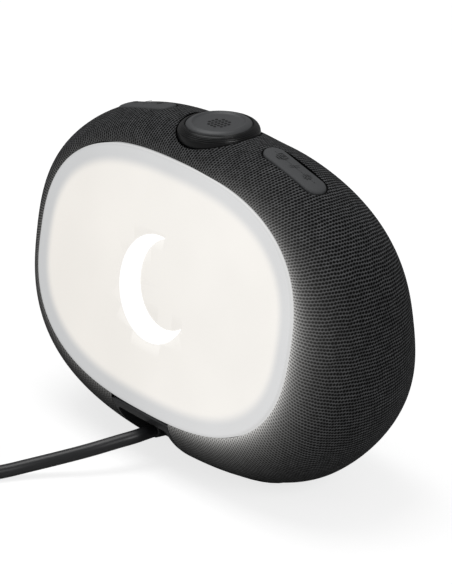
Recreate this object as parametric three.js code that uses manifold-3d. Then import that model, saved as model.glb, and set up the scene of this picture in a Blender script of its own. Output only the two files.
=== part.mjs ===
// Bedside smart display with an ambient light on its back, a volume knob and two rocker pads on top.
// Millimetres, +Z up, origin under the middle of the rubber foot. The lit back faces -Y and the
// display faces +Y. The body is lofted from a leaning oval opening on each side to a wide middle section.
import * as THREE from 'three';
import { mergeVertices } from 'three/addons/utils/BufferGeometryUtils.js';
import Module from 'manifold-3d';

const wasm = await Module();
wasm.setup();

// ---------- driving dimensions ----------
const HALF_WIDTH = 90;          // body, middle section
const MIDDLE_Z = 67.5;          // height of the middle section's centre above the table
const MIDDLE_UP = 64.4;         // centre of the middle section to the crest
const MIDDLE_DOWN = 72.5;       // centre to where the bottom would end if the base didn't cut it
const OVAL_POWER = 2.6;         // superellipse power of every section
const FACE_A = 76;              // half-width of the oval openings front and back
const FACE_B = 50.3;            // their half-height, measured along the leaning face
const FACE_Y = 29;              // how far each face's centre is from the middle plane
const FACE_Z = MIDDLE_Z + 5;    // height of each face's centre
const LEAN = THREE.MathUtils.degToRad(10.5);
const BULGE = { side: 2.05, top: 1.65, bottom: 1.62 };   // powers of the loft from middle to face
const FABRIC = 1.0;             // thickness of the knitted cover
const WALL = 2.0;               // housing wall
const GAP = 0.3;                // clearance between neighbouring pieces
const AROUND = 40;              // facets round the body
const ROWS = 5;                 // rows of facets from the middle section to a face

const LENS = { a: 75.6, b: 49.9, proud: 0.5, depth: 4.1, wall: 2.2, front: 1.5 };
const TRAY = { a: 70.4, b: 41, wall: 1.6, depth: 9 };
const LED_BOARD = { a: 66, b: 37, thick: 1.6 };
const KNOB = {
  top: 133.3, radius: 15.9, capRadius: 12.8, height: 9.4, bore: 11, stem: 2.6, stemLength: 13,
};
const ENCODER = {
  inner: 4.4, rotorInner: 7.2, outer: 10.6, rotorLow: 13.6, statorTop: 13.9, statorLow: 17.4,
};
// The seat's heights are measured down from the cap's top.
const SEAT = { halfLength: 22, radius: 13, top: 17.7, thick: 2.3 };
const SPRING = { radius: 4.2, wire: 0.4, turns: 3, low: 12.9, high: 4.7 };
const SWITCH = { size: 6, height: 3, apart: 11, below: 5.6, board: [32, 9, 1.6], boardDrop: 4.1 };
const PAD = { x: 43.9, half: 15.5, radius: 4.6, slope: THREE.MathUtils.degToRad(15.3) };
const BAY = {
  x: -1.8, half: 15.2, top: 19.2, back: -17, wall: 2, roof: 20.9, lip: 22.7, jackX: -2, jackZ: 12.4,
};
const FOOT = { a: 46.5, b: 17.2, thick: 1.6 };
const BASE = { a: 47, b: 17.7, low: 1.9, thick: 2.5 };
const SPEAKER = { x: 62, y: 2, z: 64, radius: 17, magnet: 9 };
const SLOTS = { length: 24, width: 3, pitch: 5.5, rows: [-2, -1, 0, 1, 2] };   // sound slots in each side
const SCREW = { radius: 2.2, top: 12, places: [[-34, 0], [34, 0], [-22, 9], [22, 9]] };
const LED = { radius: 2.5, height: 1.2, spacing: 40, columns: 3, count: 6 };
const DISPLAY = { width: 112, height: 62, thick: 3.2 };
const CARRIER = { a: 70.4, b: 41, thick: 1.6 };
const FRAME = { band: 4.2, thick: 1.8, inset: 0.4 };
const MARK = {
  radius: 21, shift: 9.5, bite: 17.5, thick: 0.7, pocket: 1.0, left: 3, tilt: THREE.MathUtils.degToRad(28),
};
const PLUG = { pin: 2.75, shell: 4.4, neck: 3.2, inside: 4, length: 14 };

const CORD_R = 2.65;            // round power cord, 5.3 mm in diameter
const COIL = { x: -68, y: -103, mean: 29.5, columns: 2, layers: 4, pitch: 5.4 };
const CORD_ROUTE = [
  [-2.0, -31.5, 12.4], [-2.0, -36.5, 12.4], [-2.2, -40.0, 12.3], [-4.6, -46.8, 11.3], [-9.1, -56.8, 9.2],
  [-15.2, -66.6, 6.6], [-21.0, -76.6, 4.4], [-25.6, -86.8, 3.0], [-30.0, -96.6, 2.65],
];
const TAIL_ROUTE = [
  [-104.9, -112.0, 18.2], [-109.0, -107.6, 16.4], [-114.8, -101.5, 13.2], [-121.0, -95.2, 10.2],
  [-127.0, -89.2, 8.3], [-131.0, -85.2, 8.0],
];
const ADAPTER = { x: -131.4, y: -84.8, z: 8, length: 40, width: 32, height: 24, relief: 14 };

const group = new THREE.Group();

// ---------- mesh helpers ----------
// Welds a geometry, drops collapsed triangles and turns its faces outwards.
function tidy(geometry) {
  const bare = geometry.clone();
  bare.deleteAttribute('normal');
  bare.deleteAttribute('uv');
  const welded = mergeVertices(bare, 1e-4);
  const from = welded.index.array;
  const at = welded.attributes.position;
  const kept = [];
  let volume = 0;
  const [a, b, c] = [0, 1, 2].map(() => new THREE.Vector3());
  for (let i = 0; i < from.length; i += 3) {
    const [p, q, r] = [from[i], from[i + 1], from[i + 2]];
    if (p === q || q === r || p === r) continue;
    kept.push(p, q, r);
    volume += a.fromBufferAttribute(at, p).dot(
      b.fromBufferAttribute(at, q).cross(c.fromBufferAttribute(at, r)));
  }
  if (volume < 0) {
    for (let i = 0; i < kept.length; i += 3) [kept[i], kept[i + 1]] = [kept[i + 1], kept[i]];
  }
  welded.setIndex(kept);
  return welded;
}

function toManifold(geometry) {
  const welded = tidy(geometry);
  return new wasm.Manifold(new wasm.Mesh({
    numProp: 3,
    vertProperties: new Float32Array(welded.attributes.position.array),
    triVerts: new Uint32Array(welded.index.array),
  }));
}

function fromManifold(manifold) {
  const mesh = manifold.getMesh();
  const geometry = new THREE.BufferGeometry();
  geometry.setAttribute('position', new THREE.BufferAttribute(mesh.vertProperties, 3));
  geometry.setIndex(new THREE.BufferAttribute(mesh.triVerts, 1));
  return geometry;
}

function cut(geometry, ...cutters) {
  const whole = toManifold(geometry);
  return fromManifold(cutters.reduce((left, cutter) => left.subtract(toManifold(cutter)), whole));
}

function common(geometry, other) {
  return fromManifold(toManifold(geometry).intersect(toManifold(other)));
}

function add(name, geometry, [color, roughness, metalness = 0], parent = group) {
  const shape = tidy(geometry);
  shape.computeVertexNormals();
  const mesh = new THREE.Mesh(shape, new THREE.MeshStandardMaterial({ color, roughness, metalness }));
  mesh.name = name;
  parent.add(mesh);
  return mesh;
}

// ---------- shape helpers ----------
function superellipse(turn, a, up, down, power = OVAL_POWER) {
  const [c, s] = [Math.cos(turn), Math.sin(turn)];
  const b = s >= 0 ? up : down;
  return [a * Math.sign(c) * Math.abs(c) ** (2 / power), b * Math.sign(s) * Math.abs(s) ** (2 / power)];
}

function ovalShape(a, b, count = AROUND, hole = 0) {
  const ring = (inset) => Array.from({ length: count }, (_, i) =>
    new THREE.Vector2(...superellipse((2 * Math.PI * i) / count, a - inset, b - inset, b - inset)));
  const shape = new THREE.Shape(ring(0));
  if (hole > 0) shape.holes.push(new THREE.Path(ring(hole)));
  return shape;
}

function extrude(shape, depth, z = 0, bevel = 0, bevelSegments = 2) {
  const geometry = new THREE.ExtrudeGeometry(shape, {
    depth: depth - 2 * bevel, curveSegments: 6, bevelEnabled: bevel > 0,
    bevelThickness: bevel, bevelSize: bevel, bevelOffset: -bevel, bevelSegments,
  });
  return geometry.translate(0, 0, z + bevel);
}

function stadium(halfLength, radius) {
  const shape = new THREE.Shape();
  const run = halfLength - radius;
  shape.absarc(run, 0, radius, -Math.PI / 2, Math.PI / 2, false);
  shape.absarc(-run, 0, radius, Math.PI / 2, (3 * Math.PI) / 2, false);
  return shape;
}

function box(width, depth, height, x, y, z) {
  return new THREE.BoxGeometry(width, depth, height).translate(x, y, z);
}

// A solid of revolution about the Z axis through (x, y); the profile is a list of [radius, z].
function turned(profile, segments = 32, x = 0, y = 0) {
  const points = profile.map(([r, z]) => new THREE.Vector2(r, z));
  return new THREE.LatheGeometry(points, segments).rotateX(Math.PI / 2).translate(x, y, 0);
}

function ring(inner, outer, low, high, segments = 32) {
  return turned([[inner, low], [outer, low], [outer, high], [inner, high], [inner, low]], segments);
}

function disc(radius, low, high, segments = 24, x = 0, y = 0) {
  return turned([[0, low], [radius, low], [radius, high], [0, high]], segments, x, y);
}

// A point of the body's skin. turn goes round it; v goes from -1 at the lit face, through 0 at the
// middle section, to 1 at the display face; inset moves the skin inwards.
function bodyPoint(turn, v, inset) {
  const [mx, mz] = superellipse(turn, HALF_WIDTH - inset, MIDDLE_UP - inset, MIDDLE_DOWN - inset);
  const [fx, fz] = superellipse(turn, FACE_A, FACE_B, FACE_B);
  const height = Math.sin(turn) ** 2;
  const end = Math.sin(turn) >= 0 ? BULGE.top : BULGE.bottom;
  const power = BULGE.side * (1 - height) + end * height;
  const arc = (Math.abs(v) * Math.PI) / 2;
  const out = Math.sin(arc) ** (2 / power);
  const back = 1 - Math.max(0, Math.cos(arc)) ** (2 / power);
  const faceY = FACE_Y - inset - fz * Math.sin(LEAN);
  const faceZ = FACE_Z + fz * Math.cos(LEAN);
  return new THREE.Vector3(
    mx + (fx - mx) * back,
    Math.sign(v) * faceY * out,
    MIDDLE_Z + mz + (faceZ - MIDDLE_Z - mz) * back,
  );
}

// The skin between two insets, for a list of v stations, as one closed solid.
function bodyShell(outer, inner, stations) {
  const position = [];
  const index = [];
  for (const inset of [outer, inner]) {
    for (const v of stations) {
      for (let i = 0; i < AROUND; i += 1) {
        position.push(...bodyPoint((2 * Math.PI * i) / AROUND, v, inset).toArray());
      }
    }
  }
  const layer = stations.length * AROUND;
  const quad = (a, b, c, d) => index.push(a, b, c, a, c, d);
  for (let i = 0; i < AROUND; i += 1) {
    const j = (i + 1) % AROUND;
    for (let k = 0; k + 1 < stations.length; k += 1) {
      const [low, high] = [k * AROUND, (k + 1) * AROUND];
      quad(low + i, low + j, high + j, high + i);
      quad(layer + low + j, layer + low + i, layer + high + i, layer + high + j);
    }
    const last = (stations.length - 1) * AROUND;
    quad(i, layer + i, layer + j, j);
    quad(last + j, layer + last + j, layer + last + i, last + i);
  }
  const geometry = new THREE.BufferGeometry();
  geometry.setAttribute('position', new THREE.Float32BufferAttribute(position, 3));
  geometry.setIndex(index);
  return geometry;
}

const steps = (from, to) => Array.from({ length: to - from + 1 }, (_, k) => (from + k) / ROWS);

// ---------- cutters that several pieces share ----------
const knobHole = disc(KNOB.radius + 0.6, 95, 150, 40);
const padHoles = [-1, 1].map((side) =>
  extrude(stadium(PAD.half + 0.5, PAD.radius + 0.5), 60, 100).translate(side * PAD.x, 0, 0));
const baseHole = extrude(ovalShape(BASE.a + GAP, BASE.b + GAP, 40), 12, -5);
const bottomCut = box(260, 160, 20, 0, 0, -9);
const onFace = (geometry, isDisplay) => geometry.rotateX(Math.PI / 2 - LEAN)
  .translate(0, -FACE_Y, FACE_Z).rotateZ(isDisplay ? Math.PI : 0);
const lensHoles = [false, true].map((isDisplay) =>
  onFace(extrude(ovalShape(LENS.a + GAP, LENS.b + GAP), 16, -8), isDisplay));
const bayBlock = (half, back, low, top) =>
  box(2 * half, 60, top - low, BAY.x, back - 30, (low + top) / 2);
const bayOuter = BAY.half + BAY.wall;
const bayBack = BAY.back + BAY.wall;
const bayCut = bayBlock(bayOuter + GAP, bayBack + GAP, -10, BAY.lip);
const bayChannel = bayBlock(BAY.half, BAY.back, -10, BAY.top);

// ---------- knitted cover ----------
const topHoles = [knobHole, ...padHoles];
const openings = [...topHoles, ...lensHoles, baseHole, bottomCut, bayCut];
add('fabric_cover', cut(bodyShell(0, FABRIC, steps(-ROWS, ROWS)), ...openings), ['#2f3032', 0.95]);

// ---------- two housing shells, split at the middle plane ----------
const NEAR_MIDDLE = 0.012;
const speakerSlots = [-1, 1].flatMap((side) => SLOTS.rows.map((row) =>
  box(SLOTS.length, SLOTS.length, SLOTS.width, side * HALF_WIDTH, SPEAKER.y, SPEAKER.z + row * SLOTS.pitch)));
for (const [name, side] of [['lit_side_housing', -1], ['display_side_housing', 1]]) {
  const rows = steps(1, ROWS).map((v) => side * v);
  const stations = side < 0 ? [...rows.reverse(), -NEAR_MIDDLE] : [NEAR_MIDDLE, ...rows];
  const shell = bodyShell(FABRIC + GAP, FABRIC + GAP + WALL, stations);
  add(name, cut(shell, ...openings, ...speakerSlots), ['#3b3c3e', 0.6]);
}

// ---------- the two leaning faces: local Z points out of the face, local Y up along it ----------
function face(isDisplay) {
  const outer = new THREE.Group();
  outer.rotation.z = isDisplay ? Math.PI : 0;
  const inner = new THREE.Group();
  inner.position.set(0, -FACE_Y, FACE_Z);
  inner.rotation.x = Math.PI / 2 - LEAN;
  outer.add(inner);
  group.add(outer);
  return inner;
}
const litFace = face(false);
const displayFace = face(true);

// A crescent: a disc with a smaller disc bitten out of its upper right.
function crescent(grow) {
  const shape = new THREE.Shape();
  const [r, b] = [MARK.radius + grow, MARK.bite - grow];
  const half = Math.acos((r * r + MARK.shift ** 2 - b * b) / (2 * r * MARK.shift));
  const inner = Math.PI - Math.acos((b * b + MARK.shift ** 2 - r * r) / (2 * b * MARK.shift));
  shape.absarc(0, 0, r, half, 2 * Math.PI - half, false);
  shape.absarc(MARK.shift, 0, b, -inner, inner, true);
  return shape;
}
function markSolid(grow, depth, top) {
  const settings = { depth, curveSegments: 14, bevelEnabled: false };
  const geometry = new THREE.ExtrudeGeometry(crescent(grow), settings);
  return geometry.translate(-MARK.left, 0, top - depth).rotateZ(MARK.tilt);
}

function lensCap() {
  const { a, b, proud, depth, wall, front } = LENS;
  const blank = extrude(ovalShape(a, b), depth, proud - depth, 1.4, 2);
  return cut(blank, extrude(ovalShape(a - wall, b - wall), depth, proud - depth - front));
}
const markPocket = markSolid(GAP, MARK.pocket + 1, LENS.proud + 1);
add('light_diffuser', cut(lensCap(), markPocket), ['#f4f1ea', 0.45], litFace);
add('light_mark_inlay', markSolid(0, MARK.thick, LENS.proud), ['#ffffff', 0.4], litFace);

// Frame that the fabric's edge is trapped behind; the lens or diffuser clips over it.
const FRAME_BACK = LENS.proud - LENS.depth - GAP;
const frame = () => extrude(ovalShape(LENS.a - FRAME.inset, LENS.b - FRAME.inset, AROUND, FRAME.band),
  FRAME.thick, FRAME_BACK - FRAME.thick);
add('light_frame', frame(), ['#2a2b2d', 0.55], litFace);

const trayFront = FRAME_BACK + 1.2;
const tray = cut(extrude(ovalShape(TRAY.a, TRAY.b), TRAY.depth, trayFront - TRAY.depth),
  extrude(ovalShape(TRAY.a - TRAY.wall, TRAY.b - TRAY.wall), TRAY.depth, trayFront - TRAY.depth + TRAY.wall));
add('light_reflector_tray', tray, ['#f2f2f0', 0.6], litFace);
const boardTop = trayFront - TRAY.depth + TRAY.wall + GAP + LED_BOARD.thick;
add('led_board', extrude(ovalShape(LED_BOARD.a, LED_BOARD.b, 32), LED_BOARD.thick, boardTop - LED_BOARD.thick),
  ['#e9ece8', 0.5], litFace);
for (let i = 0; i < LED.count; i += 1) {
  const x = ((i % LED.columns) - 1) * LED.spacing;
  const y = (Math.floor(i / LED.columns) - 0.5) * LED.spacing;
  add(`led_${i + 1}`, disc(LED.radius, boardTop + GAP, boardTop + GAP + LED.height, 12, x, y),
    ['#f3e6a8', 0.35], litFace);
}

// ---------- display side ----------
add('display_lens', lensCap(), ['#0c0d0f', 0.08], displayFace);
add('display_frame', frame(), ['#2a2b2d', 0.55], displayFace);
const displayTop = LENS.proud - LENS.front - GAP;
add('display_module', box(DISPLAY.width, DISPLAY.height, DISPLAY.thick, 0, 0, displayTop - DISPLAY.thick / 2),
  ['#1a1c20', 0.3], displayFace);
const carrierTop = displayTop - DISPLAY.thick - GAP;
add('display_carrier', extrude(ovalShape(CARRIER.a, CARRIER.b, 32), CARRIER.thick, carrierTop - CARRIER.thick),
  ['#3b3c3e', 0.6], displayFace);

// ---------- knob: rotating ring, pressing cap, encoder ----------
const K = KNOB.top;
const R = KNOB.radius;
const ringBore = KNOB.capRadius + GAP;
add('knob_ring', turned([
  [ringBore, K - 0.4], [R - 1.6, K - 0.9], [R - 0.7, K - 1.8], [R - 0.15, K - 2.9], [R, K - 4.2],
  [R - 0.15, K - 6.2], [R - 0.8, K - 8.2], [R - 1.5, K - KNOB.height], [KNOB.bore, K - KNOB.height],
  [KNOB.bore, K - 4.6], [ringBore, K - 4.6], [ringBore, K - 0.4],
]), ['#161718', 0.42]);
const C = KNOB.capRadius;
add('knob_cap', turned([
  [0, K - KNOB.stemLength], [KNOB.stem, K - KNOB.stemLength], [KNOB.stem, K - 3.2], [C - 0.7, K - 3.2],
  [C, K - 2.6], [C, K - 0.7], [C - 0.6, K - 0.1], [C - 1.5, K], [C - 2.7, K - 0.35], [5, K - 0.75],
  [0, K - 0.8],
]), ['#484a4d', 0.6]);
add('encoder_rotor', ring(ENCODER.rotorInner, ENCODER.outer, K - ENCODER.rotorLow, K - KNOB.height - GAP, 24),
  ['#5b5d60', 0.5]);
add('encoder_stator', ring(ENCODER.inner, ENCODER.outer, K - ENCODER.statorLow, K - ENCODER.statorTop, 24),
  ['#2d2e30', 0.5]);
add('cap_switch', disc(ENCODER.inner - 1, K - ENCODER.statorLow, K - ENCODER.statorTop, 16), ['#1f2022', 0.5]);
add('knob_seat', extrude(stadium(SEAT.halfLength, SEAT.radius), SEAT.thick, K - SEAT.top - SEAT.thick),
  ['#3b3c3e', 0.6]);

// Return spring of the cap, round its stem.
class SpringPath extends THREE.Curve {
  constructor(radius, low, high, turns) {
    super();
    Object.assign(this, { radius, low, high, turns });
  }

  getPoint(t, target = new THREE.Vector3()) {
    const turn = 2 * Math.PI * this.turns * t;
    return target.set(this.radius * Math.cos(turn), this.radius * Math.sin(turn),
      THREE.MathUtils.lerp(this.low, this.high, t));
  }
}
function tube(path, radius, sides, count) {
  const section = new THREE.Shape(Array.from({ length: sides }, (_, i) => {
    const turn = (2 * Math.PI * i) / sides;
    return new THREE.Vector2(radius * Math.cos(turn), radius * Math.sin(turn));
  }));
  return new THREE.ExtrudeGeometry(section, { steps: count, extrudePath: path, bevelEnabled: false });
}
const springPath = new SpringPath(SPRING.radius, K - SPRING.low, K - SPRING.high, SPRING.turns);
add('cap_spring', tube(springPath, SPRING.wire, 5, 24),
  ['#b9bcc0', 0.3, 0.9]);

// ---------- rocker pads and the switches under them ----------
const padBlank = bodyShell(-0.5, FABRIC + GAP + WALL, steps(-ROWS, ROWS));
for (const [label, side] of [['left', -1], ['right', 1]]) {
  const outline = extrude(stadium(PAD.half, PAD.radius), 60, 100).translate(side * PAD.x, 0, 0);
  add(`${label}_pad`, common(padBlank, outline), ['#4b4d50', 0.7]);
  const under = new THREE.Group();
  const crest = bodyPoint(Math.acos((PAD.x / HALF_WIDTH) ** (OVAL_POWER / 2)), 0, 0);
  under.position.set(side * PAD.x, 0, crest.z - SWITCH.below);
  under.rotation.y = side * PAD.slope;
  group.add(under);
  for (const [place, x] of [['inner', -side], ['outer', side]]) {
    const { size, height, apart } = SWITCH;
    add(`${label}_${place}_switch`, box(size, size, height, x * apart, 0, -height / 2), ['#17181a', 0.5], under);
  }
  add(`${label}_switch_board`, box(...SWITCH.board, 0, 0, -SWITCH.boardDrop), ['#1f5a3c', 0.55], under);
}

// ---------- cable bay, jack, base ----------
const bodySolid = bodyShell(0, 26, steps(-ROWS, ROWS));
const bayBlank = bayBlock(bayOuter, bayBack, BASE.low, BAY.roof);
const jackSlot = disc(4.9, 0, 8, 20).rotateX(Math.PI / 2).translate(BAY.jackX, BAY.back + 4, BAY.jackZ);
add('cable_bay', cut(common(bodySolid, bayBlank), bayChannel, jackSlot), ['#232426', 0.5]);
const jackBore = disc(3.4, -9, 9, 16).rotateX(Math.PI / 2)
  .translate(BAY.jackX, BAY.back + BAY.wall, BAY.jackZ);
add('dc_jack', cut(box(10, 12, 10, BAY.jackX, BAY.back + BAY.wall + GAP + 6, BAY.jackZ), jackBore),
  ['#111213', 0.45]);

const basePlate = extrude(ovalShape(BASE.a, BASE.b, 40), BASE.thick, BASE.low);
add('base_plate', cut(basePlate, bayCut), ['#2b2c2e', 0.6]);
const rubberFoot = extrude(ovalShape(FOOT.a, FOOT.b, 40), FOOT.thick);
add('rubber_foot', cut(rubberFoot, bayCut), ['#1b1b1c', 0.9]);
SCREW.places.forEach(([x, y], i) => {
  add(`base_screw_${i + 1}`, disc(SCREW.radius, BASE.low + BASE.thick + GAP, SCREW.top, 12, x, y),
    ['#9a9da1', 0.35, 0.9]);
});

// ---------- electronics and speakers ----------
add('main_board', box(84, 1.6, 44, 0, 8, 74), ['#1f5a3c', 0.55]);
add('processor_shield', box(26, 2.4, 20, -18, 5.7, 80), ['#b7babd', 0.35, 0.9]);
add('wireless_module', box(14, 2, 12, 26, 5.9, 84), ['#c3c5c7', 0.35, 0.9]);
const towards = (geometry, side) => geometry.rotateY((side * Math.PI) / 2)
  .translate(side * SPEAKER.x, SPEAKER.y, SPEAKER.z);
for (const [label, side] of [['speaker', 1], ['passive_radiator', -1]]) {
  const r = SPEAKER.radius;
  add(`${label}_frame`, towards(turned([
    [9.4, 0], [11, 0], [r - 2, 7], [r, 7], [r, 9], [r - 3.4, 9], [9.4, 1.8], [9.4, 0],
  ], 20), side), ['#3a3b3d', 0.5, 0.2]);
  add(`${label}_cone`, towards(turned([
    [0, 3.2], [5, 3.2], [11.4, 9.6], [r - 0.4, 9.6], [r - 0.4, 10.2], [10.9, 10.2], [4.6, 4], [0, 4],
  ], 20), side), ['#242526', 0.8]);
}
add('speaker_magnet', towards(disc(SPEAKER.magnet, -SPEAKER.magnet, 1.4, 20), 1), ['#55585c', 0.4, 0.7]);

// ---------- power cord: plug, lead, coil, tail and wall adapter ----------
const toJack = (geometry) => geometry.rotateX(Math.PI / 2).translate(BAY.jackX, BAY.back, BAY.jackZ);
add('dc_plug', toJack(turned([
  [0, -PLUG.inside], [PLUG.pin, -PLUG.inside], [PLUG.pin, GAP], [PLUG.shell, GAP], [PLUG.shell, 7],
  [3.7, 8.8], [PLUG.neck, PLUG.length], [0, PLUG.length],
], 20)), ['#1d1e1f', 0.5]);
const route = (points) =>
  new THREE.CatmullRomCurve3(points.map((p) => new THREE.Vector3(...p)), false, 'centripetal');
add('power_cord', tube(route(CORD_ROUTE), CORD_R, 8, 16), ['#262728', 0.5]);
const ringHalf = ((COIL.columns - 1) * COIL.pitch) / 2 + CORD_R;
const coilTop = (COIL.layers - 1) * COIL.pitch + 2 * CORD_R;
const [coilIn, coilOut, round] = [COIL.mean - ringHalf, COIL.mean + ringHalf, 1.2];
add('cord_coil', turned([
  [coilIn, round], [coilIn + round, 0.1], [coilOut - round, 0.1], [coilOut, round], [coilOut, coilTop - round],
  [coilOut - round, coilTop], [coilIn + round, coilTop], [coilIn, coilTop - round], [coilIn, round],
], 28, COIL.x, COIL.y), ['#262728', 0.5]);
add('cord_tail', tube(route(TAIL_ROUTE), CORD_R, 8, 12), ['#262728', 0.5]);

const adapter = new THREE.Group();
adapter.position.set(ADAPTER.x, ADAPTER.y, 0);
adapter.rotation.z = THREE.MathUtils.degToRad(135);
group.add(adapter);
const alongX = (geometry, x, z) => geometry.rotateY(Math.PI / 2).translate(x, 0, z);
add('adapter_relief', alongX(turned([
  [0, 0], [3.1, 0], [4.6, ADAPTER.relief], [0, ADAPTER.relief],
], 16), 0, ADAPTER.z), ['#1d1e1f', 0.55], adapter);
const corner = 4;
const brick = new THREE.Shape();
const [w, h] = [ADAPTER.width / 2 - corner, ADAPTER.height / 2 - corner];
brick.absarc(w, h, corner, 0, Math.PI / 2, false);
brick.absarc(-w, h, corner, Math.PI / 2, Math.PI, false);
brick.absarc(-w, -h, corner, Math.PI, 1.5 * Math.PI, false);
brick.absarc(w, -h, corner, 1.5 * Math.PI, 2 * Math.PI, false);
add('wall_adapter', extrude(brick, ADAPTER.length, 0, 1.2, 1).rotateX(Math.PI / 2).rotateZ(Math.PI / 2)
  .translate(ADAPTER.relief + GAP, 0, ADAPTER.height / 2), ['#1b1c1d', 0.6], adapter);
for (const [label, side] of [['left', -1], ['right', 1]]) {
  const x = ADAPTER.relief + ADAPTER.length + 2 * GAP + 8;
  const blade = box(16, 1.5, 6.3, x, side * 6.35, ADAPTER.height / 2);
  add(`adapter_blade_${label}`, blade, ['#c9b37a', 0.3, 0.95], adapter);
}

export default group;
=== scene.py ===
# A bedside smart display in a knitted cover: the leaning back carries a lit oval panel, the other
# side the screen. On top are a turning knob with a press cap and two rocker pads.
import math
import bpy
import numpy as np
from mathutils import Matrix, Vector


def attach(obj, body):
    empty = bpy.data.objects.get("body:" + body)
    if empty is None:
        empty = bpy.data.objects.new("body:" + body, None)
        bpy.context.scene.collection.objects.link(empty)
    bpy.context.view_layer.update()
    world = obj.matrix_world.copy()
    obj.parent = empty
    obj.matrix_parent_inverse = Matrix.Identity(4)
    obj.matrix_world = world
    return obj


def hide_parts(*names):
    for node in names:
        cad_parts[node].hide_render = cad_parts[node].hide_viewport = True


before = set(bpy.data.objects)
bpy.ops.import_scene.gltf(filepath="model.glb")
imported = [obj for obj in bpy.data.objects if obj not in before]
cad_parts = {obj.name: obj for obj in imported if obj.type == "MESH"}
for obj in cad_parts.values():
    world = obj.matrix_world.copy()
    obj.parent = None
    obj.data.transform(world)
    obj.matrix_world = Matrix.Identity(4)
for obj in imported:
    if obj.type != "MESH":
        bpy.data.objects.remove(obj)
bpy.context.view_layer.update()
mm = 0.001

# ---------- The camera ----------
# It stands to the right of the lit back, a long lens looking a little down at the object.
aim = Vector((0, 0, 67.5 * mm))
azimuth, elevation, distance = math.radians(50.68), math.radians(23.42), 1242.81 * mm
camera_data = bpy.data.cameras.new("camera")
camera_data.sensor_fit = "HORIZONTAL"
camera_data.sensor_width = 36.0
camera_data.lens = 256.97
camera_data.shift_x, camera_data.shift_y = 0.01546, -0.02487
camera_data.clip_start = 0.01
camera = bpy.data.objects.new("camera", camera_data)
camera.location = aim + distance * Vector((
    math.sin(azimuth) * math.cos(elevation), -math.cos(azimuth) * math.cos(elevation), math.sin(elevation)))
camera.rotation_euler = (aim - camera.location).to_track_quat("-Z", "Y").to_euler()
bpy.context.scene.collection.objects.link(camera)
bpy.context.scene.camera = camera


# ---------- Power cord ----------
# A round two-core lead in black PVC, 5.3 mm thick. It leaves the barrel plug in the cable bay,
# drops to the table and is stored as a round coil that a fabric strap holds.
def wire(tree, kind, inputs=None, **settings):
    """Adds a shader or geometry node; an input is a value or a socket to link."""
    node = tree.nodes.new(kind)
    for key, value in settings.items():
        setattr(node, key, value)
    for key, value in (inputs or {}).items():
        if isinstance(value, bpy.types.NodeSocket):
            tree.links.new(value, node.inputs[key])
        else:
            node.inputs[key].default_value = value
    return node


def moulded_grain():
    """Fine spark-eroded mould texture with a slow change of tone: colour, roughness and normal."""
    tree = bpy.data.node_groups.new("moulded grain", "ShaderNodeTree")
    for name, kind, value in [
        ("Colour", "NodeSocketColor", (0.5, 0.5, 0.5, 1)), ("Roughness", "NodeSocketFloat", 0.5),
        ("Grain per metre", "NodeSocketFloat", 2500.0), ("Depth", "NodeSocketFloat", 0.00005),
        ("Tone change", "NodeSocketFloat", 0.25),
    ]:
        tree.interface.new_socket(name=name, in_out="INPUT", socket_type=kind).default_value = value
    for name, kind in [("Colour", "NodeSocketColor"), ("Roughness", "NodeSocketFloat"),
                       ("Normal", "NodeSocketVector")]:
        tree.interface.new_socket(name=name, in_out="OUTPUT", socket_type=kind)
    given = tree.nodes.new("NodeGroupInput").outputs
    where = wire(tree, "ShaderNodeTexCoord").outputs["Object"]
    grain = wire(tree, "ShaderNodeTexNoise", {"Vector": where, "Scale": given["Grain per metre"],
                                              "Detail": 3.0})
    cloud = wire(tree, "ShaderNodeTexNoise", {"Vector": where, "Scale": 45.0, "Detail": 4.0,
                                              "Roughness": 0.6})
    tone = wire(tree, "ShaderNodeMapRange", {"Value": cloud.outputs["Fac"], "From Min": 0.3, "From Max": 0.7,
                                             "To Min": -0.5, "To Max": 0.5})
    swing = wire(tree, "ShaderNodeMath", {0: tone.outputs["Result"], 1: given["Tone change"]},
                 operation="MULTIPLY")
    gain = wire(tree, "ShaderNodeMath", {0: swing.outputs[0], 1: 1.0}, operation="ADD")
    shade = wire(tree, "ShaderNodeVectorMath", {0: given["Colour"], "Scale": gain.outputs[0]},
                 operation="SCALE")
    rough = wire(tree, "ShaderNodeMath", {0: swing.outputs[0], 1: 0.3, 2: given["Roughness"]},
                 operation="MULTIPLY_ADD")
    bump = wire(tree, "ShaderNodeBump", {"Height": grain.outputs["Fac"], "Distance": given["Depth"],
                                         "Strength": 0.7})
    wire(tree, "NodeGroupOutput", {"Colour": shade.outputs[0], "Roughness": rough.outputs[0],
                                   "Normal": bump.outputs["Normal"]})
    return tree


grain_group = moulded_grain()


def moulded(name, colour, roughness, grain=2500.0, depth=0.05, change=0.25, metallic=0.0, **sockets):
    """A moulded, rubber or cast finish; depth of the grain in millimetres."""
    material = bpy.data.materials.new(name)
    material.use_nodes = True
    tree = material.node_tree
    shader = tree.nodes["Principled BSDF"]
    group = wire(tree, "ShaderNodeGroup", node_tree=grain_group)
    for key, value in [("Colour", (*colour, 1)), ("Roughness", roughness), ("Grain per metre", grain),
                       ("Depth", depth * mm), ("Tone change", change)]:
        group.inputs[key].default_value = value
    tree.links.new(group.outputs["Colour"], shader.inputs["Base Color"])
    tree.links.new(group.outputs["Roughness"], shader.inputs["Roughness"])
    tree.links.new(group.outputs["Normal"], shader.inputs["Normal"])
    shader.inputs["Metallic"].default_value = metallic
    for key, value in sockets.items():
        shader.inputs[key.replace("_", " ")].default_value = value
    return material


def settle(piece, body, slot, *nodes):
    """The piece rides on a body and stands for CAD nodes, which it hides; the slot is not used."""
    if piece.name not in bpy.context.scene.collection.all_objects:
        bpy.context.scene.collection.objects.link(piece)
    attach(piece, body)
    if nodes:
        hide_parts(*nodes)
    return piece


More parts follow.
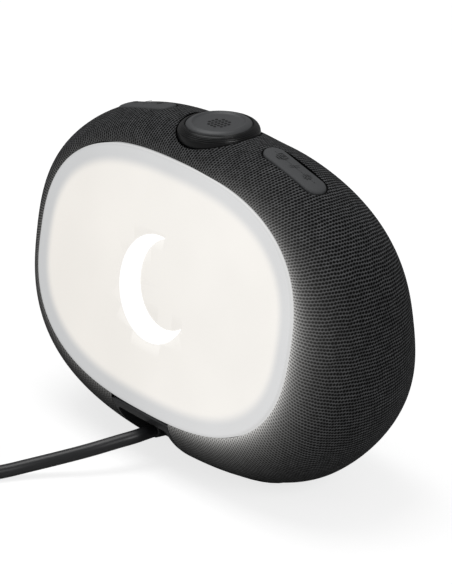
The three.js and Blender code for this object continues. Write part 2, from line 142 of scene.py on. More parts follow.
cord_radius = 2.65
lead_run = [(-2.0, -31.5, 12.4), (-2.0, -36.5, 12.4), (-2.2, -40.0, 12.3), (-4.6, -46.8, 11.3),
            (-9.1, -56.8, 9.2), (-15.2, -66.6, 6.6), (-21.0, -76.6, 4.4), (-25.6, -86.8, 3.0),
            (-30.0, -96.6, 2.65), (-34.3, -106.4, 2.65)]
coil_x, coil_y, coil_mean, coil_pitch = -68.0, -103.0, 29.5, 5.4
coil_start, coil_turns, points_per_turn = math.radians(-23.9), 7.31, 28
coil_layers, crossing = 4, 0.16
# Two turns lie side by side in each layer, the outer one first and last in turn.
coil_places = [(coil_mean + side * coil_pitch / 2, cord_radius + layer * coil_pitch)
               for layer in range(coil_layers) for side in ((1, -1) if layer % 2 == 0 else (-1, 1))]
coil_run = []
for i in range(int(coil_turns * points_per_turn) + 1):
    turn = i / points_per_turn
    place_now, part = int(turn), turn - int(turn)
    (r0, z0), (r1, z1) = coil_places[place_now], coil_places[min(place_now + 1, len(coil_places) - 1)]
    # The lead crosses to its next place over the last part of each turn.
    step = min(1, max(0, (part - (1 - crossing)) / crossing))
    step = step * step * (3 - 2 * step)
    radius, height = r0 + (r1 - r0) * step, z0 + (z1 - z0) * step
    angle = coil_start - 2 * math.pi * turn
    coil_run.append((coil_x + radius * math.cos(angle), coil_y + radius * math.sin(angle), height))
tail_run = [(-97.9, -118.8, 18.8), (-104.9, -112.0, 18.2), (-109.0, -107.6, 16.4), (-114.8, -101.5, 13.2),
            (-121.0, -95.2, 10.2), (-127.0, -89.2, 8.3), (-131.0, -85.2, 8.0)]
cord_points = lead_run + coil_run + tail_run

cord_curve = bpy.data.curves.new("power_lead", "CURVE")
cord_curve.dimensions = "3D"
cord_curve.bevel_depth = cord_radius * mm
cord_curve.bevel_resolution = 4
cord_curve.use_fill_caps = True
cord_curve.resolution_u = 4
spline = cord_curve.splines.new("BEZIER")
spline.bezier_points.add(len(cord_points) - 1)
for knot, place in zip(spline.bezier_points, cord_points):
    knot.co = Vector(place) * mm
    knot.handle_left_type = knot.handle_right_type = "AUTO"
power_lead = bpy.data.objects.new("power_lead", cord_curve)
cord_sheath = moulded("black PVC sheath", (0.021, 0.0215, 0.023), 0.36, grain=900, depth=0.02, change=0.2,
                      Specular_IOR_Level=0.45)
cord_curve.materials.append(cord_sheath)
settle(power_lead, "case", "cord", "power_cord", "cord_coil", "cord_tail")


def solid_mesh(name, points, faces, smooth=True, map_name=None, corners=()):
    """A closed mesh from points in millimetres, its faces turned outwards by its signed volume."""
    mesh = bpy.data.meshes.new(name)
    mesh.from_pydata([Vector(p) * mm for p in points], [], faces)
    if map_name:
        mesh.uv_layers.new(name=map_name).data.foreach_set("uv", np.array(corners, "f").ravel())
    if smooth:
        mesh.polygons.foreach_set("use_smooth", [True] * len(faces))
    mesh.update()
    mesh.calc_loop_triangles()
    place = np.array([vertex.co for vertex in mesh.vertices])
    a, b, c = (place[[triangle.vertices[k] for triangle in mesh.loop_triangles]] for k in range(3))
    if np.einsum("ij,ij->i", a, np.cross(b, c)).sum() < 0:
        mesh.flip_normals()
    return mesh


def ring_faces(count, low, high):
    """Quads between two rings of points, given the number of each ring's first point."""
    return [(low + i, low + (i + 1) % count, high + (i + 1) % count, high + i) for i in range(count)]


def end_fan(points, count, start, first_end):
    """Closes a ring with triangles round its middle point, which is added to the points."""
    points.append(sum((Vector(points[start + i]) for i in range(count)), Vector()) / count)
    sides = [(start + i, start + (i + 1) % count) for i in range(count)]
    return [(*(side[::-1] if first_end else side), len(points) - 1) for side in sides]


def closed_mesh(name, rings, loop=False, smooth=True):
    """A skin over rings of points; loop joins the last ring to the first, or else both ends are closed."""
    count, last = len(rings[0]), len(rings) - 1
    points = [p for ring in rings for p in ring]
    faces = []
    for k in range(len(rings) if loop else last):
        faces += ring_faces(count, k * count, (k + 1) % len(rings) * count)
    if not loop:
        faces += end_fan(points, count, 0, True) + end_fan(points, count, last * count, False)
    return solid_mesh(name, points, faces, smooth)


def lathe(profile, count=72, axis=Matrix.Identity(4)):
    """Rings of a turned piece; the profile is (radius, height) in millimetres."""
    return [[axis @ Vector((r * math.cos(2 * math.pi * i / count), r * math.sin(2 * math.pi * i / count), z))
             for i in range(count)] for r, z in profile]


def finished(name, mesh, *modifiers):
    """An object with its modifiers applied; each modifier is (kind, settings)."""
    thing = bpy.data.objects.new(name, mesh)
    bpy.context.scene.collection.objects.link(thing)
    for kind, settings in modifiers:
        modifier = thing.modifiers.new(kind.lower(), kind)
        for key, value in settings.items():
            setattr(modifier, key, value)
    if modifiers:
        view = bpy.context.evaluated_depsgraph_get()
        baked = bpy.data.meshes.new_from_object(thing.evaluated_get(view))
        thing.modifiers.clear()
        thing.data = baked
        baked.name = name
    return thing


# ---------- Coil strap ----------
# A narrow woven strap, closed on itself round the turns at one place so that they stay together.
strap_half_width, strap_thick = 4.5, 0.5
strap_low, strap_high, strap_corner = 0.05, coil_places[-1][1] + cord_radius + 0.1, 2.6
strap_half_depth = coil_pitch / 2 + cord_radius + 0.15
strap_angle = math.radians(118)
strap_frame = Matrix.Translation((coil_x, coil_y, 0)) @ Matrix.Rotation(strap_angle, 4, "Z")


def strap_outline(extra):
    """Rounded rectangle round the section of the coil, in its radial plane."""
    half, high, corner = strap_half_depth + extra, strap_high + extra, strap_corner + extra
    outline = []
    for side, cz, start in [(1, high - corner, 0), (-1, high - corner, 90),
                            (-1, strap_low + corner, 180), (1, strap_low + corner, 270)]:
        for k in range(7):
            bend = math.radians(start + 15 * k)
            outline.append((coil_mean + side * (half - corner) + corner * math.cos(bend),
                            cz + corner * math.sin(bend)))
    return outline


strap_rings = [[strap_frame @ Vector((r, y, z)) for r, z in strap_outline(extra)]
               for extra, y in [(0, -strap_half_width), (strap_thick, -strap_half_width),
                                (strap_thick, strap_half_width), (0, strap_half_width)]]
coil_strap = finished("coil_strap", closed_mesh("coil_strap", strap_rings, loop=True),
                      ("BEVEL", {"width": 0.15 * mm, "segments": 2, "limit_method": "ANGLE"}))
strap_cloth = moulded("woven strap", (0.03, 0.031, 0.033), 0.85, grain=1400, depth=0.25, change=0.5)
strap_nodes = strap_cloth.node_tree
strap_weave = wire(strap_nodes, "ShaderNodeTexWave",
                   {"Vector": wire(strap_nodes, "ShaderNodeTexCoord").outputs["Object"], "Scale": 900.0,
                    "Distortion": 1.5, "Detail": 1.0}, bands_direction="DIAGONAL")
strap_bump = wire(strap_nodes, "ShaderNodeBump", {"Height": strap_weave.outputs["Fac"], "Distance": 0.2 * mm})
strap_nodes.links.new(strap_bump.outputs["Normal"], strap_nodes.nodes["Principled BSDF"].inputs["Normal"])
coil_strap.data.materials.append(strap_cloth)
settle(coil_strap, "case", "cord")

# ---------- Barrel plug ----------
# The low-voltage plug in the cable bay: a turned metal barrel inside an over-moulded black grip
# with a tapered neck and shallow grip rings.
jack_mouth = (-2.0, -17.0, 12.4)
plug_frame = Matrix.Translation(jack_mouth) @ Matrix.Rotation(math.pi / 2, 4, "X")
plug_profile = [(0.01, -4), (2.6, -4), (2.75, -3.8), (2.75, 0.3), (4.1, 0.3), (4.4, 0.7)]
for at in (1.8, 3.3, 4.8):
    plug_profile += [(4.4, at), (4.15, at + 0.3), (4.4, at + 0.6)]
plug_profile += [(4.4, 7.0), (4.1, 8.0), (3.7, 8.8), (3.5, 9.6), (3.3, 9.9), (3.45, 10.2), (3.35, 11.2),
                 (3.15, 11.5), (3.3, 11.8), (3.2, 12.8), (3.1, 13.8), (2.95, 14.0), (0.01, 14.0)]
barrel_plug = finished("barrel_plug", closed_mesh("barrel_plug", lathe(plug_profile, 48, plug_frame)))
plug_grip = moulded("over-moulded grip", (0.012, 0.0125, 0.0135), 0.42, grain=2200, depth=0.03)
barrel_plug.data.materials.append(plug_grip)
settle(barrel_plug, "case", "plug", "dc_plug")

# ---------- Wall adapter ----------
# A small plug-top supply in black polycarbonate with a parting line round its middle, a ribbed
# strain relief where the lead enters, and two plated blades.
adapter_frame = Matrix.Translation((-131.4, -84.8, 0)) @ Matrix.Rotation(math.radians(135), 4, "Z")
relief_length, relief_thin, relief_thick, relief_height = 14.0, 3.1, 4.6, 8.0
adapter_width, adapter_height, adapter_corner = 32.0, 24.0, 4.0
relief_axis = adapter_frame @ Matrix.Translation((0, 0, relief_height)) @ Matrix.Rotation(math.pi / 2, 4, "Y")
relief_profile = [(0.01, 0), (2.95, 0), (relief_thin, 0.3)]
for k in range(5):
    for at, swell in [(0, 0), (0.3, -0.45), (1.0, -0.45), (1.3, 0), (2.3, 0)]:
        along = 0.8 + k * 2.5 + at
        taper = (relief_thick - relief_thin) * along / relief_length
        relief_profile.append((relief_thin + taper + swell, along))
relief_profile += [(relief_thick, relief_length), (0.01, relief_length)]
strain_relief = finished("strain_relief",
                         closed_mesh("strain_relief", lathe(relief_profile, 40, relief_axis)))
strain_relief.data.materials.append(plug_grip)
settle(strain_relief, "case", "plug", "adapter_relief")


def rounded_box(half_x, half_y, corner, per_corner=8):
    """Outline of a rectangle with round corners, anticlockwise."""
    outline = []
    for sx, sy, start in [(1, 1, 0), (-1, 1, 90), (-1, -1, 180), (1, -1, 270)]:
        for k in range(per_corner + 1):
            bend = math.radians(start + 90 * k / per_corner)
            outline.append((sx * (half_x - corner) + corner * math.cos(bend),
                            sy * (half_y - corner) + corner * math.sin(bend)))
    return outline


adapter_rings = []
brick_start = relief_length + 0.3
# Rounded ends, and a shallow parting line between 15.7 and 16.5 mm.
for along, inset in [(0, 1.6), (0.25, 0.75), (0.8, 0.2), (1.6, 0), (15.7, 0), (15.9, 0.25), (16.3, 0.25),
                     (16.5, 0), (38.4, 0), (39.2, 0.2), (39.75, 0.75), (40, 1.6)]:
    outline = rounded_box(adapter_width / 2 - inset, adapter_height / 2 - inset, adapter_corner - inset * 0.5)
    adapter_rings.append([adapter_frame @ Vector((brick_start + along, y, adapter_height / 2 + z))
                          for y, z in outline])
adapter_case = finished("adapter_case", closed_mesh("adapter_case", adapter_rings))
adapter_case.data.materials.append(
    moulded("spark-textured polycarbonate", (0.013, 0.0132, 0.014), 0.5, grain=3200, depth=0.08))
settle(adapter_case, "case", "adapter", "wall_adapter")


def dress(material, *nodes):
    """CAD nodes without a piece of their own take a finish directly."""
    for node in nodes:
        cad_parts[node].material_slots[0].material = material


blade_metal = moulded("plated brass blade", (0.78, 0.66, 0.42), 0.26, grain=500, depth=0.01, change=0.15,
                      metallic=1.0)
dress(blade_metal, "adapter_blade_left", "adapter_blade_right")

# ---------- Table and light ----------
# A plain pale surface, a bright white surround, and three soft boxes: above, right and left.
table_reach, table_top = 4, -0.0002
table_mesh = bpy.data.meshes.new("table")
table_mesh.from_pydata([(table_reach * x, table_reach * y, table_top)
                        for x, y in [(-1, -1), (1, -1), (1, 1), (-1, 1)]], [], [(0, 1, 2, 3)])
table = bpy.data.objects.new("table", table_mesh)
bpy.context.scene.collection.objects.link(table)
pale = moulded("pale table", (0.40, 0.40, 0.40), 0.9, grain=300, depth=0.01, change=0.01)
table_mesh.materials.append(pale)
# The camera alone sees the table a little brighter, so that shadows on it stay soft.
to_camera = wire(pale.node_tree, "ShaderNodeLightPath").outputs["Is Camera Ray"]
lift_tone = wire(pale.node_tree, "ShaderNodeVectorMath", {0: (0.76, 0.76, 0.76), "Scale": to_camera},
                 operation="SCALE")
pale_shader = pale.node_tree.nodes["Principled BSDF"]
pale.node_tree.links.new(lift_tone.outputs[0], pale_shader.inputs["Emission Color"])
pale_shader.inputs["Emission Strength"].default_value = 1.0
world = bpy.data.worlds.new("surround")
world.use_nodes = True
world.node_tree.nodes["Background"].inputs["Color"].default_value = (1, 1, 1, 1)
world.node_tree.nodes["Background"].inputs["Strength"].default_value = 0.27
bpy.context.scene.world = world
bpy.context.scene.view_settings.view_transform = "Standard"
for name, where, size, power in [("soft box above", (-0.3, -0.1, 1.25), 0.8, 7.0),
                                 ("soft box right", (1.15, -0.1, 0.75), 0.5, 4.0),
                                 ("soft box left", (-0.6, -1.2, 0.6), 0.7, 1.0)]:
    light_data = bpy.data.lights.new(name, "AREA")
    light_data.shape = "SQUARE"
    light_data.size = size
    light_data.energy = power
    light = bpy.data.objects.new(name, light_data)
    light.location = where
    light.rotation_euler = (aim - light.location).to_track_quat("-Z", "Y").to_euler()
    bpy.context.scene.collection.objects.link(light)

# ---------- Knitted cover ----------
# One piece of two-tone acoustic knit pulled over the housing and trapped behind both ovals. Its
# ribs run from the lit rim over the crest to the display rim, and cut openings let the knob, the
# pads, the cable bay and the base through.
half_width, middle_z, middle_up, middle_down = 90.0, 67.5, 64.4, 72.5
oval_power, face_a, face_b, face_y, lean = 2.6, 76.0, 50.3, 29.0, math.radians(10.5)
face_z = middle_z + 5
bulge_side, bulge_top, bulge_bottom = 2.05, 1.65, 1.62
fabric_thick = 1.0
rib_count, stitch_row = 376, 1.28
knob_radius, pad_x, pad_half, pad_radius = 15.9, 43.9, 15.5, 4.6


def oval(turn, a, up, down):
    """A squared oval's point at an angle, with its own height above and below its middle."""
    c, s = np.cos(turn), np.sin(turn)
    return (a * np.sign(c) * np.abs(c) ** (2 / oval_power),
            np.where(s >= 0, up, down) * np.sign(s) * np.abs(s) ** (2 / oval_power))


def skin(turn, v):
    """Points of the body's skin: turn goes round it, v from the lit rim at -1 to the display rim at 1."""
    mx, mz = oval(turn, half_width, middle_up, middle_down)
    fx, fz = oval(turn, face_a, face_b, face_b)
    high = np.sin(turn) ** 2
    power = bulge_side * (1 - high) + np.where(np.sin(turn) >= 0, bulge_top, bulge_bottom) * high
    arc = np.abs(v) * math.pi / 2
    out = np.sin(arc) ** (2 / power)
    back = 1 - np.maximum(0, np.cos(arc)) ** (2 / power)
    y = np.sign(v) * (face_y - fz * math.sin(lean)) * out
    z = middle_z + mz + (face_z + fz * math.cos(lean) - middle_z - mz) * back
    return np.stack([mx + (fx - mx) * back, y, z], -1)


def section(part, side):
    """Sine of the oval's angle and its share of the height, at a part of its half width; side is 1 above."""
    s = side * np.sqrt(np.maximum(0, 1 - np.abs(part) ** oval_power))
    return s, np.sign(s) * np.abs(s) ** (2 / oval_power)


# The next two solve the skin for a point on it; the width there depends on how far the skin has
# curved back, so a few passes bring the two together.
passes = 12


def crest_height(x, y, inset=0.0):
    """Height of the skin above a point (x, y) of the crest."""
    wide = half_width - inset
    part = x / wide
    for _ in range(passes):
        s, lift = section(part, 1)
        power = bulge_side * (1 - s * s) + bulge_top * s * s
        depth = face_y - inset - face_b * lift * math.sin(lean)
        arc = np.arcsin(np.minimum(1, np.abs(y) / depth) ** (power / 2))
        back = 1 - np.maximum(0, np.cos(arc)) ** (2 / power)
        part = x / (wide + (face_a - wide) * back)
    top = middle_z + (middle_up - inset) * lift
    return top + (face_z + face_b * lift * math.cos(lean) - top) * back


def front_depth(x, z):
    """y of the lower lit-side skin at (x, z)."""
    part = x / half_width
    for _ in range(passes):
        s, lift = section(part, -1)
        power = bulge_side * (1 - s * s) + bulge_bottom * s * s
        low = middle_z + middle_down * lift
        face_low = face_z + face_b * lift * math.cos(lean)
        back = np.clip((z - low) / (face_low - low), 0, 1)
        arc = np.arccos((1 - back) ** (power / 2))
        part = x / (half_width + (face_a - half_width) * back)
    return -(face_y - face_b * lift * math.sin(lean)) * np.sin(arc) ** (2 / power)


def even_turns(count, points_at):
    """Angles that divide a closed line into equal lengths."""
    fine = np.linspace(0, 2 * math.pi, 6001)
    line = points_at(fine)
    gone = np.concatenate([[0], np.cumsum(np.linalg.norm(np.diff(line, axis=0), axis=1))])
    return np.interp(np.linspace(0, gone[-1], count, endpoint=False), gone, fine)


columns, rows = 320, 84
cover_turns = even_turns(columns, lambda t: skin(t, np.full_like(t, 0.6)))
cover_v = np.linspace(-1, 1, rows + 1)
grid_turn, grid_v = np.meshgrid(cover_turns, cover_v)
cover = skin(grid_turn, grid_v)
# The knit sinks a little where it is pulled in beside the knob.
sink_depth, sink_x, sink_y, sink_reach_x, sink_reach_y, crest_from = 1.25, 18, -2, 9.0, 16.0, 100
sink = sink_depth * np.exp(-((cover[..., 0] - sink_x) / sink_reach_x) ** 2
                           - ((cover[..., 1] - sink_y) / sink_reach_y) ** 2)
cover[..., 2] -= np.where(cover[..., 2] > crest_from, sink, 0)
row_lengths = np.linalg.norm(np.diff(cover, axis=0), axis=2)
run = np.concatenate([np.zeros((1, columns)), np.cumsum(row_lengths, axis=0)])
cover_mesh = bpy.data.meshes.new("knit_cover")
faces, corner_uv = [], []
for k in range(rows):
    faces += ring_faces(columns, k * columns, (k + 1) * columns)
    for i in range(columns):
        j = (i + 1) % columns
        left, right = rib_count * i / columns, rib_count * (i + 1) / columns
        corner_uv += [(left, run[k, i] / stitch_row), (right, run[k, j] / stitch_row),
                      (right, run[k + 1, j] / stitch_row), (left, run[k + 1, i] / stitch_row)]
cover_mesh.from_pydata((cover.reshape(-1, 3) * mm).tolist(), [], faces)
cover_mesh.uv_layers.new(name="knit").data.foreach_set("uv", np.array(corner_uv, "f").ravel())
cover_mesh.polygons.foreach_set("use_smooth", [True] * len(faces))
cover_mesh.update()
middle_face = cover_mesh.polygons[(rows // 2) * columns + columns // 4]
if middle_face.normal.dot(Vector(middle_face.center) - aim) < 0:
    cover_mesh.flip_normals()


def prism(name, outline, low, high, to_place=Matrix.Identity(4)):
    """A cutter: an outline in millimetres extruded from low to high."""
    rings = [[to_place @ Vector((x, y, z)) for x, y in outline] for z in (low, high)]
    cutter = bpy.data.objects.new(name, closed_mesh(name, rings, smooth=False))
    bpy.context.scene.collection.objects.link(cutter)
    return cutter


def stadium(half, radius, steps=14):
    """Outline of a pad: two half circles joined by straight sides."""
    outline = []
    for side in (1, -1):
        for bend in np.linspace(-math.pi / 2, math.pi / 2, steps) + (0 if side > 0 else math.pi):
            outline.append((side * (half - radius) + radius * math.cos(bend), radius * math.sin(bend)))
    return outline


def carve(thing, cutters):
    """Cuts the thing with each cutter, then removes the cutters."""
    for cutter in cutters:
        cut_modifier = thing.modifiers.new("cut", "BOOLEAN")
        cut_modifier.operation, cut_modifier.solver, cut_modifier.object = "DIFFERENCE", "EXACT", cutter
    baked = bpy.data.meshes.new_from_object(thing.evaluated_get(bpy.context.evaluated_depsgraph_get()))
    thing.modifiers.clear()
    thing.data = baked
    for cutter in cutters:
        bpy.data.objects.remove(cutter)
    return thing


def circle(radius, count=72):
    return [(radius * math.cos(bend), radius * math.sin(bend))
            for bend in (2 * math.pi * i / count for i in range(count))]


def oval_outline(a, b, count=96):
    turns = even_turns(count, lambda t: np.stack(oval(t, a, b, b), -1))
    return list(zip(*[values.tolist() for values in oval(turns, a, b, b)]))


knit_cover = finished("knit_cover", cover_mesh,
                      ("SOLIDIFY", {"thickness": fabric_thick * mm, "offset": -1.0}))
bay_x_middle, bay_outer, bay_back, bay_lip = -1.8, 17.5, -14.7, 25.5
block = [(bay_x_middle + side * bay_outer, bay_back - reach)
         for side, reach in [(-1, 60), (1, 60), (1, 0), (-1, 0)]]
knob_gap, pad_gap, cut_top, base_a, base_b, lowest_stitch = 0.5, 0.75, 160, 47.3, 18.0, 1.0
pad_opening = stadium(pad_half + pad_gap, pad_radius + pad_gap)
carve(knit_cover, [
    prism("knob opening", circle(knob_radius + knob_gap), 95, 150),
    prism("left pad opening", pad_opening, crest_from, cut_top, Matrix.Translation((-pad_x, 0, 0))),
    prism("right pad opening", pad_opening, crest_from, cut_top, Matrix.Translation((pad_x, 0, 0))),
    prism("base opening", oval_outline(base_a, base_b), -6, 7),
    prism("table side", [(-130, -80), (130, -80), (130, 80), (-130, 80)], -20, lowest_stitch),
    prism("bay opening", block, -11, bay_lip),
])


def new_finish(name):
    """A material to be wired by hand: itself, its tree and its main shader."""
    material = bpy.data.materials.new(name)
    material.use_nodes = True
    return material, material.node_tree, material.node_tree.nodes["Principled BSDF"]


knit, tree, shader = new_finish("charcoal knit")


# This and the next four add nodes to the tree of the material in hand.
def sums(operation, *values, clamp=False):
    node = wire(tree, "ShaderNodeMath", dict(enumerate(values)), operation=operation, use_clamp=clamp)
    return node.outputs[0]


def smooth_range(value, low, high, to_low=0.0, to_high=1.0):
    ends = {"From Min": low, "From Max": high, "To Min": to_low, "To Max": to_high}
    node = wire(tree, "ShaderNodeMapRange", {"Value": value, **ends}, interpolation_type="SMOOTHSTEP")
    return node.outputs[0]


def tint(factor, dark, light):
    dark, light = ((*end, 1) if isinstance(end, tuple) else end for end in (dark, light))
    node = wire(tree, "ShaderNodeMix", {"Factor": factor, "A": dark, "B": light}, data_type="RGBA")
    return node.outputs["Result"]


def parts_of(vector):
    return wire(tree, "ShaderNodeSeparateXYZ", {0: vector}).outputs


def noise(where, scale, detail, output="Fac"):
    node = wire(tree, "ShaderNodeTexNoise", {"Vector": where, "Scale": scale, "Detail": detail})
    return node.outputs[output]


knit_map = parts_of(wire(tree, "ShaderNodeUVMap", uv_map="knit").outputs["UV"])
rib, stitch = knit_map["X"], knit_map["Y"]
object_place = wire(tree, "ShaderNodeTexCoord").outputs["Object"]
# The hand of the knit: ribs and rows wander by a part of a stitch, and every second rib is set half
# a stitch further. Between the yarns each stitch leaves a small dark hole.
rib_wander, row_wander, hole_across, hole_along = 0.8, 0.9, 0.35, 0.40
wander = parts_of(noise(object_place, 160.0, 1.0, "Color"))
rib_here = sums("ADD", rib, sums("MULTIPLY", wander["X"], rib_wander))
groove_number = sums("FLOOR", rib_here)
stitch_along = sums("ADD", sums("ADD", stitch, sums("MULTIPLY", wander["Y"], row_wander)),
                    sums("MULTIPLY", sums("MODULO", groove_number, 2.0), 0.5))
across = sums("ABSOLUTE", sums("SUBTRACT", sums("FRACT", rib_here), 0.5))
along = sums("ABSOLUTE", sums("SUBTRACT", sums("FRACT", stitch_along), 0.5))
hole_distance = sums("SQRT", sums("ADD", sums("POWER", sums("DIVIDE", across, hole_across), 2.0),
                                  sums("POWER", sums("DIVIDE", along, hole_along), 2.0)))
hole = smooth_range(hole_distance, 0.72, 1.3)
groove = smooth_range(across, 0.0, 0.34, 0.5, 1.0)
yarn = sums("MULTIPLY", hole, groove)
stitch_tone = wire(tree, "ShaderNodeTexWhiteNoise", {"Vector": wire(tree, "ShaderNodeCombineXYZ", {
    "X": groove_number, "Y": sums("FLOOR", stitch_along)}).outputs[0]}).outputs["Value"]
fibre = noise(object_place, 1500.0, 3.0)
heather = sums("ADD", sums("MULTIPLY", stitch_tone, 0.6), sums("MULTIPLY", fibre, 0.4), clamp=True)
yarn_colour = tint(heather, (0.032, 0.033, 0.0345), (0.130, 0.132, 0.136))
# The yarn mask also darkens the colour: painted shade in the grooves between ribs, and painted shade in the
# stitch holes over the dark housing seen through them.
tree.links.new(tint(yarn, (0.0012, 0.0012, 0.0014), yarn_colour), shader.inputs["Base Color"])
# Light from the panel is painted onto the first stitches round its edge as a glow in the knit's emission, and
# dies away over about 20 mm. It is the sum of a near and a far part, and the painted glow is stronger on the
# right and weaker over the crest.
near_light, near_reach, far_light, far_reach = 0.30, 2.2, 0.15, 7.0
rim_distance = sums("MULTIPLY", stitch, stitch_row)
leak = sums("ADD", sums("MULTIPLY", sums("EXPONENT", sums("DIVIDE", rim_distance, -near_reach)), near_light),
            sums("MULTIPLY", sums("EXPONENT", sums("DIVIDE", rim_distance, -far_reach)), far_light))
place = parts_of(object_place)
leak_side = sums("MULTIPLY", smooth_range(place["X"], 0.0, 0.072, 0.25, 1.5),
                 smooth_range(place["Z"], 0.07, 0.12, 1.0, 0.35))
# The cut edges of the openings carry no stitches and get none of the painted glow.
leak_side = sums("MULTIPLY", leak_side, sums("GREATER_THAN", rib, 0.02))
leak_here = sums("MULTIPLY", sums("MULTIPLY", leak, leak_side),
                 sums("ADD", sums("MULTIPLY", yarn, 0.62), 0.38))
leak_colour = wire(tree, "ShaderNodeVectorMath", {0: (1.0, 0.985, 0.955), "Scale": leak_here},
                   operation="SCALE")
tree.links.new(leak_colour.outputs[0], shader.inputs["Emission Color"])
shader.inputs["Emission Strength"].default_value = 1.0
height = sums("ADD", yarn, sums("MULTIPLY", fibre, 0.2))
knit_bump = wire(tree, "ShaderNodeBump", {"Height": height, "Distance": 0.45 * mm, "Strength": 0.9})
tree.links.new(knit_bump.outputs["Normal"], shader.inputs["Normal"])
shader.inputs["Roughness"].default_value = 0.92
shader.inputs["Sheen Weight"].default_value = 0.03
shader.inputs["Sheen Roughness"].default_value = 0.45
shader.inputs["Specular IOR Level"].default_value = 0.06
knit_cover.data.materials.clear()
knit_cover.data.materials.append(knit)
settle(knit_cover, "case", "fabric", "fabric_cover")

# ---------- Housing shells ----------
# Two moulded black shells under the cover, joined at the middle plane, with sound slots in the
# sides; clip frames, the knob seat and the display carrier are made of the same plastic.
shell_plastic = moulded("black housing plastic", (0.03, 0.0305, 0.032), 0.6, grain=2600, depth=0.06)
dress(shell_plastic, "lit_side_housing", "display_side_housing", "light_frame", "display_frame",
      "display_carrier", "knob_seat")

# ---------- Lit panel ----------
# An opal acrylic cap, 4 mm deep, clipped into the lit oval. Lamps behind it light it evenly; its
# turned-down edge is dimmer, and a shallow pocket in its face holds the inlaid crescent.
lens_a, lens_b, lens_proud, lens_depth, lens_wall, lens_front = 75.6, 49.9, 0.5, 4.1, 2.2, 1.5
lit_frame = Matrix.Translation((0, -face_y, face_z)) @ Matrix.Rotation(math.pi / 2 - lean, 4, "X")
display_frame_place = Matrix.Rotation(math.pi, 4, "Z") @ lit_frame


def lens_cap(name, to_place, edge):
    """An oval cap with a rounded rim; a UV map gives the distance from its edge in centimetres."""
    turns = even_turns(168, lambda t: np.stack(oval(t, lens_a, lens_b, lens_b), -1))
    count = len(turns)
    # Each station is (inset from the edge, height): up the rim and over the front, then the inside.
    outer = [(0.0, lens_proud - lens_depth)]
    outer += [(edge * (1 - math.cos(bend)), lens_proud - edge * (1 - math.sin(bend)))
              for bend in np.linspace(0, math.pi / 2, 7)]
    outer += [(inset, lens_proud) for inset in (2.2, 3.2, 4.4, 5.8, 7.2, 8.8, 11, 14, 18, 23, 29, 36, 43, 48)]
    inner = [(inset, lens_proud - lens_front) for inset in (46, 30, 15, 6, lens_wall + 0.6)]
    inner += [(lens_wall, lens_proud - lens_front - 0.6), (lens_wall, lens_proud - lens_depth)]
    stations = outer + inner
    points = []
    for inset, height in stations:
        x, y = oval(turns, lens_a - inset, lens_b - inset, lens_b - inset)
        points += [to_place @ Vector((px, py, height)) for px, py in zip(x, y)]
    faces, rim_map = [], []
    for k in range(len(stations)):
        after = (k + 1) % len(stations)
        if after == len(outer):
            continue
        faces += ring_faces(count, k * count, after * count)
        here, there = stations[k][0] / 10, stations[after][0] / 10
        for i in range(count):
            low, high = i / count, (i + 1) / count
            rim_map += [(here, low), (here, high), (there, high), (there, low)]
    for k, first_end in [(len(outer) - 1, False), (len(outer), True)]:
        faces += end_fan(points, count, k * count, first_end)
        rim_map += [(stations[k][0] / 10, 0), (stations[k][0] / 10, 0), (5.0, 0)] * count
    return solid_mesh(name, points, faces, True, "rim", rim_map)


mark_radius, mark_shift, mark_bite, mark_left, mark_tilt = 21.0, 9.5, 17.5, 3.0, math.radians(28)


def crescent(grow, per_arc=60):
    """Outline of a disc with a smaller disc bitten out of it, in the face's own plane."""
    r, b = mark_radius + grow, mark_bite - grow
    half = math.acos((r * r + mark_shift ** 2 - b * b) / (2 * r * mark_shift))
    inner_half = math.pi - math.acos((b * b + mark_shift ** 2 - r * r) / (2 * b * mark_shift))
    outline = [(r * math.cos(a) - mark_left, r * math.sin(a))
               for a in np.linspace(half, 2 * math.pi - half, per_arc)]
    outline += [(mark_shift + b * math.cos(a) - mark_left, b * math.sin(a))
                for a in np.linspace(-inner_half, inner_half - 2 * math.pi, per_arc)][1:-1]
    c, s = math.cos(mark_tilt), math.sin(mark_tilt)
    return [(x * c - y * s, x * s + y * c) for x, y in outline]


lit_panel = finished("lit_panel", lens_cap("lit_panel", lit_frame, 0.7))
carve(lit_panel, [prism("crescent pocket", crescent(0.06), lens_proud - 1.0, lens_proud + 1.0, lit_frame)])
opal, tree, shader = new_finish("lit opal acrylic")
rim_inset = parts_of(wire(tree, "ShaderNodeUVMap", uv_map="rim").outputs["UV"])["X"]
object_place = wire(tree, "ShaderNodeTexCoord").outputs["Object"]
place = parts_of(object_place)
# Painted light: the glow is made a little brighter towards the panel's right and upper side, the side that
# the soft boxes light.
to_right = sums("ADD", place["X"], sums("MULTIPLY", sums("SUBTRACT", place["Z"], face_z * mm), 0.35))
painted_light_sweep = smooth_range(to_right, -0.075, 0.045)
glow = tint(painted_light_sweep, (0.73, 0.70, 0.655), (0.78, 0.755, 0.715))
band = tint(painted_light_sweep, (0.45, 0.455, 0.46), (0.56, 0.562, 0.565))
into_panel = smooth_range(rim_inset, 0.42, 0.90)
body_light = tint(into_panel, band, glow)
edge_line = smooth_range(rim_inset, 0.02, 0.14)
edge_tone = tint(painted_light_sweep, (0.38, 0.385, 0.39), (0.50, 0.50, 0.50))
cloud_gain = smooth_range(noise(object_place, 22.0, 2.0), 0.3, 0.7, 0.975, 1.02)
panel_light = tint(edge_line, edge_tone, body_light)
lit_colour = wire(tree, "ShaderNodeVectorMath", {0: panel_light, "Scale": cloud_gain},
                  operation="SCALE").outputs[0]
tree.links.new(lit_colour, shader.inputs["Emission Color"])
shader.inputs["Emission Strength"].default_value = 1.0
shader.inputs["Base Color"].default_value = (0.30, 0.30, 0.298, 1)
fine = noise(object_place, 3000.0, 2.0)
tree.links.new(smooth_range(fine, 0.2, 0.8, 0.38, 0.5), shader.inputs["Roughness"])
